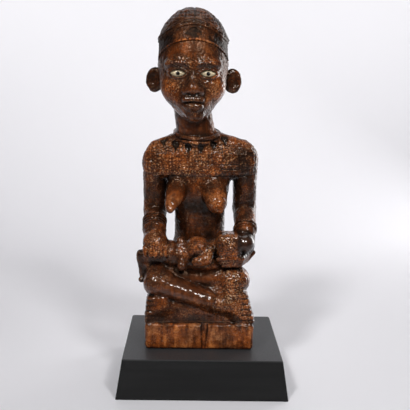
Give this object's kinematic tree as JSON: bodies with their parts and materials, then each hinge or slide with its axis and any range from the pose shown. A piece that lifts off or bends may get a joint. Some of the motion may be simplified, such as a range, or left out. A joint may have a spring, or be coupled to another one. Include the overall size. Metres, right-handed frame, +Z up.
{
  "type": "kongo maternity figure",
  "caption": "Carved wooden figure of a mother seated cross-legged on a slab with a child across her lap, white eye inlays, on a tapered black plinth.",
  "frame": {"origin": "centre of the plinth's underside", "axes": "+Z up, the figure looks towards -Y, +X to the viewer's right"},
  "size_m": [0.1612, 0.1492, 0.3622],
  "materials": {
    "carved_wood": "crusty reddish-brown patina with a worn gloss on the high points",
    "eye_inlay": "glossy off-white with a dark pupil",
    "plinth_wood": "satin black stain"
  },
  "bodies": {
    "root": {"figure": "carved_wood", "eye_right": "eye_inlay", "eye_left": "eye_inlay", "plinth": "plinth_wood"}
  },
  "joints": []
}
